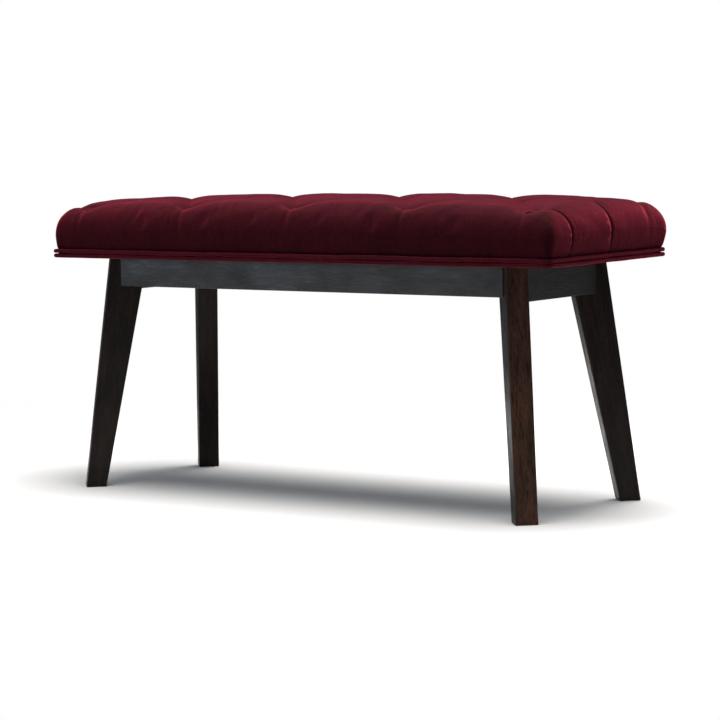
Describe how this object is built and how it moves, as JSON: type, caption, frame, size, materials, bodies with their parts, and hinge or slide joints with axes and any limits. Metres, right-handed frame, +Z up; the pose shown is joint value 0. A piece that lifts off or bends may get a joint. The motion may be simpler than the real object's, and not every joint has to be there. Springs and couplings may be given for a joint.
{
  "type": "tufted upholstered bench",
  "caption": "Backless bench with a diamond-tufted velvet seat, piping round its lower edge, dark stained aprons and splayed tapered board legs set on the corner diagonals.",
  "frame": {"origin": "middle of the bench on the floor plane under its feet", "axes": "+X along the length of the seat, +Y from the front to the back, +Z up"},
  "size_m": [0.9, 0.306, 0.4404],
  "materials": {
    "stained_wood": "dark brown stain under satin lacquer",
    "plain_wood": "bare beech",
    "plywood": "bare plywood",
    "velvet": "wine red velvet",
    "piping_velvet": "wine red velvet over cord",
    "foam": "open-cell upholstery foam",
    "dust_cloth": "black non-woven cloth",
    "zinc_steel": "zinc-plated steel"
  },
  "bodies": {
    "root": {"front_left_leg": "stained_wood", "front_right_leg": "stained_wood", "rear_left_leg": "stained_wood", "rear_right_leg": "stained_wood", "front_apron": "stained_wood", "rear_apron": "stained_wood", "left_end_apron": "stained_wood", "right_end_apron": "stained_wood", "front_left_corner_block": "plain_wood", "front_left_leg_bolt": "zinc_steel", "front_left_long_apron_screw": "zinc_steel", "front_left_end_apron_screw": "zinc_steel", "front_left_seat_screw": "zinc_steel", "front_left_long_dowel": "plain_wood", "front_left_end_dowel": "plain_wood", "front_right_corner_block": "plain_wood", "front_right_leg_bolt": "zinc_steel", "front_right_long_apron_screw": "zinc_steel", "front_right_end_apron_screw": "zinc_steel", "front_right_seat_screw": "zinc_steel", "front_right_long_dowel": "plain_wood", "front_right_end_dowel": "plain_wood", "rear_left_corner_block": "plain_wood", "rear_left_leg_bolt": "zinc_steel", "rear_left_long_apron_screw": "zinc_steel", "rear_left_end_apron_screw": "zinc_steel", "rear_left_seat_screw": "zinc_steel", "rear_left_long_dowel": "plain_wood", "rear_left_end_dowel": "plain_wood", "rear_right_corner_block": "plain_wood", "rear_right_leg_bolt": "zinc_steel", "rear_right_long_apron_screw": "zinc_steel", "rear_right_end_apron_screw": "zinc_steel", "rear_right_seat_screw": "zinc_steel", "rear_right_long_dowel": "plain_wood", "rear_right_end_dowel": "plain_wood", "dust_cover": "dust_cloth", "seat_board": "plywood", "foam_pad": "foam", "velvet_cover": "velvet", "lower_piping": "piping_velvet", "upper_piping": "piping_velvet", "tuft_button_01": "piping_velvet", "tuft_button_02": "piping_velvet", "tuft_button_03": "piping_velvet", "tuft_button_04": "piping_velvet", "tuft_button_05": "piping_velvet", "tuft_button_06": "piping_velvet", "tuft_button_07": "piping_velvet", "tuft_button_08": "piping_velvet", "tuft_button_09": "piping_velvet", "tuft_button_10": "piping_velvet", "tuft_button_11": "piping_velvet", "tuft_button_12": "piping_velvet", "tuft_button_13": "piping_velvet", "tuft_button_14": "piping_velvet"}
  },
  "joints": []
}
